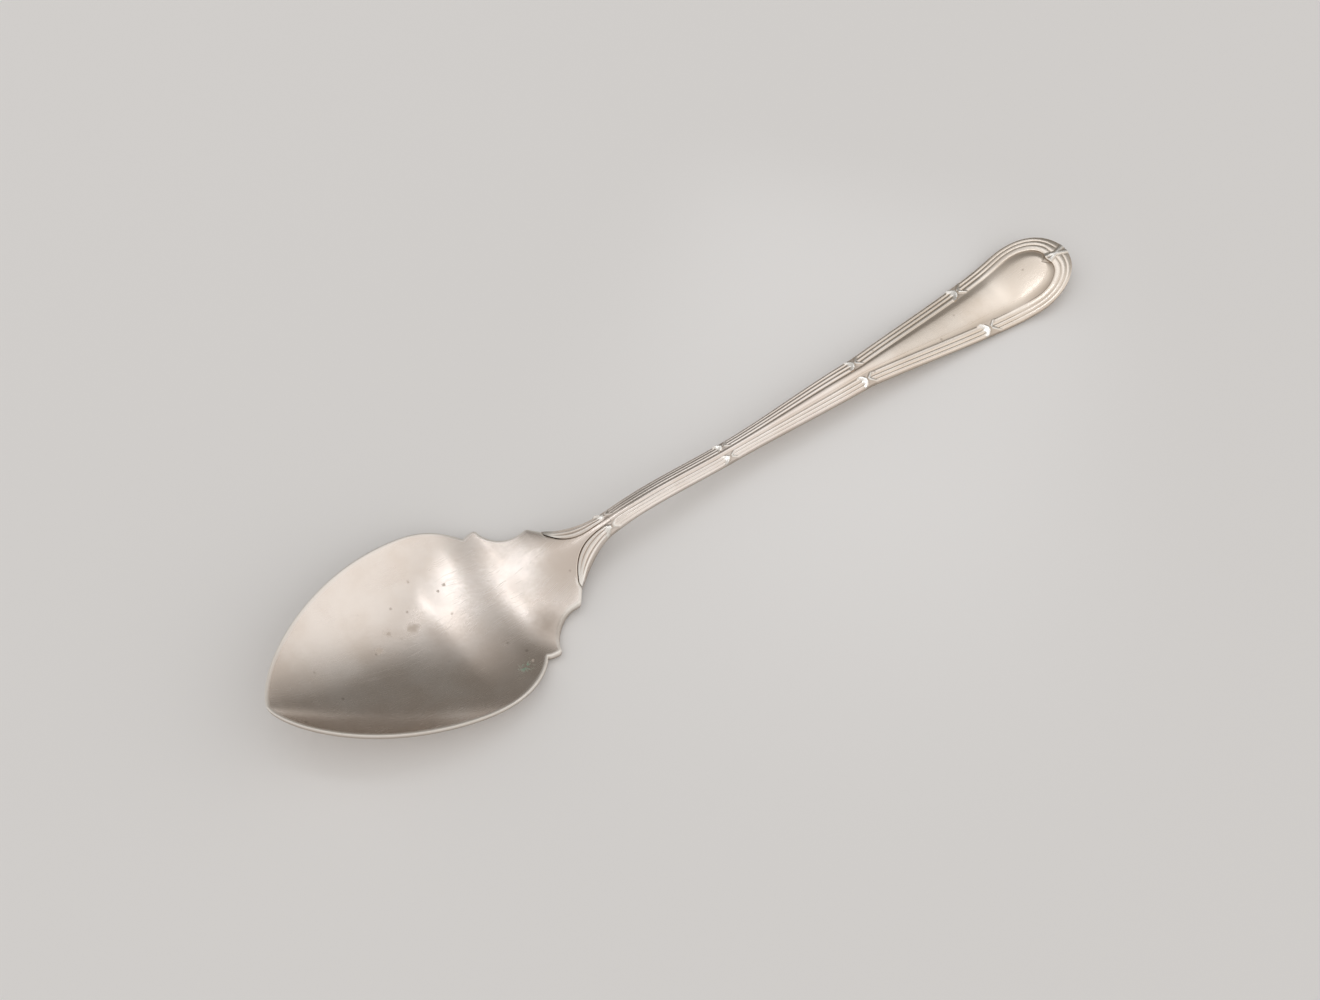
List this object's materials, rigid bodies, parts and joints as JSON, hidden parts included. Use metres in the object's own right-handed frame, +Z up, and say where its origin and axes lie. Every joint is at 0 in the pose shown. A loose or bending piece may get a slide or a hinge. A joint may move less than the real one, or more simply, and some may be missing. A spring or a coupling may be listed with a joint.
{
  "type": "jam spoon",
  "caption": "Small serving spoon with a pointed, dished bowl, scalloped shoulders and a slender reeded handle with ribbon ties and a rounded end, for jam and preserves.",
  "frame": {"origin": "middle of the spoon's length and width, on the table that it lies on", "axes": "+X along the spoon from the bowl's tip to the handle's end, +Z up from the table, into the bowl's hollow side"},
  "size_m": [0.143, 0.0314, 0.012],
  "materials": {
    "bowl_silver": "worn satin silver plate, warm, with fine scratches and a few spots of tarnish",
    "handle_silver": "worn silver plate, brighter on the crests of the reeds and darker in the grooves"
  },
  "bodies": {
    "root": {"bowl": "bowl_silver", "handle": "handle_silver"}
  },
  "joints": []
}
